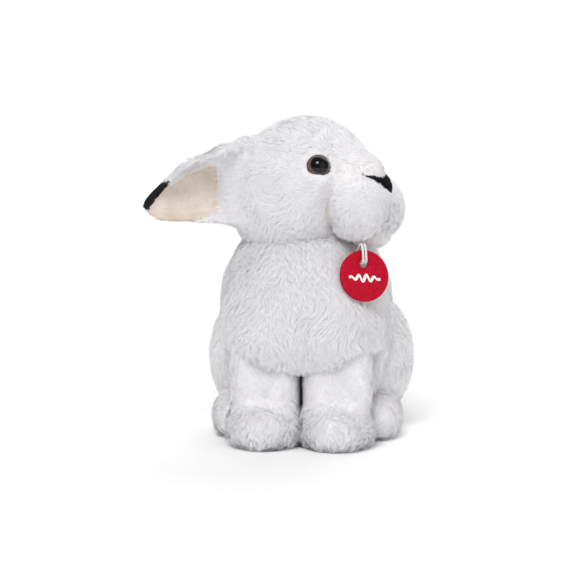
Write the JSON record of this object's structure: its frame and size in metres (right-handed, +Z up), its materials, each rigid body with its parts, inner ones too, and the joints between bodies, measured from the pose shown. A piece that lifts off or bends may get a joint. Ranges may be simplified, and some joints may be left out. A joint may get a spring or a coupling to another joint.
{
  "type": "plush rabbit",
  "caption": "Stuffed fabric rabbit sitting upright with its head turned, laid-back ears, button eyes and a round hang tag.",
  "frame": {"origin": "on the floor at the middle of the flat seat the toy rests on", "axes": "+Z up, -Y the way the chest and front legs face, +X the toy's own left"},
  "size_m": [0.1792, 0.167, 0.209],
  "materials": {
    "white_plush": "long soft white pile",
    "black_plush": "short black pile",
    "ear_lining": "short cream pile",
    "stuffing": "loose polyester fibre",
    "eye": "glossy brown and black",
    "eye_washer": "matt",
    "tag": "red, lightly textured",
    "tag_cord": "white cotton cord"
  },
  "bodies": {
    "torso": {"seat_panel": "white_plush", "chest_panel": "white_plush", "underbelly_panel": "white_plush", "back_panel_left": "white_plush", "back_panel_right": "white_plush", "torso_filling": "stuffing", "haunch_skin_left": "white_plush", "haunch_filling_left": "stuffing", "haunch_skin_right": "white_plush", "haunch_filling_right": "stuffing", "hind_foot_skin_left": "white_plush", "hind_foot_filling_left": "stuffing", "hind_foot_skin_right": "white_plush", "hind_foot_filling_right": "stuffing", "tail_skin": "white_plush", "tail_filling": "stuffing"},
    "neck": {"neck_filling": "stuffing"},
    "head": {"head_side_left": "white_plush", "head_side_right": "white_plush", "head_gusset": "white_plush", "head_filling": "stuffing", "muzzle_skin_left": "white_plush", "muzzle_filling_left": "stuffing", "muzzle_skin_right": "white_plush", "muzzle_filling_right": "stuffing", "chin_skin": "white_plush", "chin_filling": "stuffing", "nose_bridge_skin": "white_plush", "nose_bridge_filling": "stuffing", "nose_patch": "black_plush", "eye_left": "eye", "eye_right": "eye", "eye_washer_left": "eye_washer", "eye_washer_right": "eye_washer"},
    "ear_left": {"ear_back_left": "white_plush", "ear_tip_left": "black_plush", "ear_lining_left": "ear_lining"},
    "ear_right": {"ear_back_right": "white_plush", "ear_tip_right": "black_plush", "ear_lining_right": "ear_lining"},
    "front_leg_left": {"front_leg_skin_left": "white_plush", "front_paw_skin_left": "white_plush", "front_leg_filling_left": "stuffing"},
    "front_leg_right": {"front_leg_skin_right": "white_plush", "front_paw_skin_right": "white_plush", "front_leg_filling_right": "stuffing"},
    "tag": {"tag_disc": "tag", "tag_knot": "tag_cord", "tag_cord_left": "tag_cord", "tag_cord_right": "tag_cord"}
  },
  "joints": [
    {"name": "head_turn", "type": "hinge", "parent": "torso", "child": "neck", "pos_m": [0, 0.004, 0.163], "axis": [0, 0, 1], "range_deg": [-6, 20], "stiffness_Nm_per_rad": 0.25},
    {"name": "head_nod", "type": "hinge", "parent": "neck", "child": "head", "pos_m": [0, 0.004, 0.163], "axis": [-0.4695, -0.8829, 0], "range_deg": [0, 10], "stiffness_Nm_per_rad": 1.2},
    {"name": "ear_left_flop", "type": "hinge", "parent": "head", "child": "ear_left", "pos_m": [-0.01479, 0.04754, 0.176], "axis": [0.9017, 0.4323, 0], "range_deg": [-5, 30], "stiffness_Nm_per_rad": 0.05},
    {"name": "ear_right_flop", "type": "hinge", "parent": "head", "child": "ear_right", "pos_m": [-0.04437, -0.00809, 0.176], "axis": [-0.1458, 0.9893, 0], "range_deg": [-5, 30], "stiffness_Nm_per_rad": 0.05},
    {"name": "front_leg_left_swing", "type": "hinge", "parent": "torso", "child": "front_leg_left", "pos_m": [0.0235, -0.028, 0.066], "axis": [-1, 0, 0], "range_deg": [0, 30], "stiffness_Nm_per_rad": 0.3},
    {"name": "front_leg_right_swing", "type": "hinge", "parent": "torso", "child": "front_leg_right", "pos_m": [-0.0235, -0.028, 0.066], "axis": [-1, 0, 0], "range_deg": [0, 30], "stiffness_Nm_per_rad": 0.3},
    {"name": "tag_swing", "type": "hinge", "parent": "torso", "child": "tag", "pos_m": [0.0347, -0.0257, 0.1225], "axis": [0.4134, -0.8865, 0.2079], "range_deg": [-12, 12]}
  ]
}
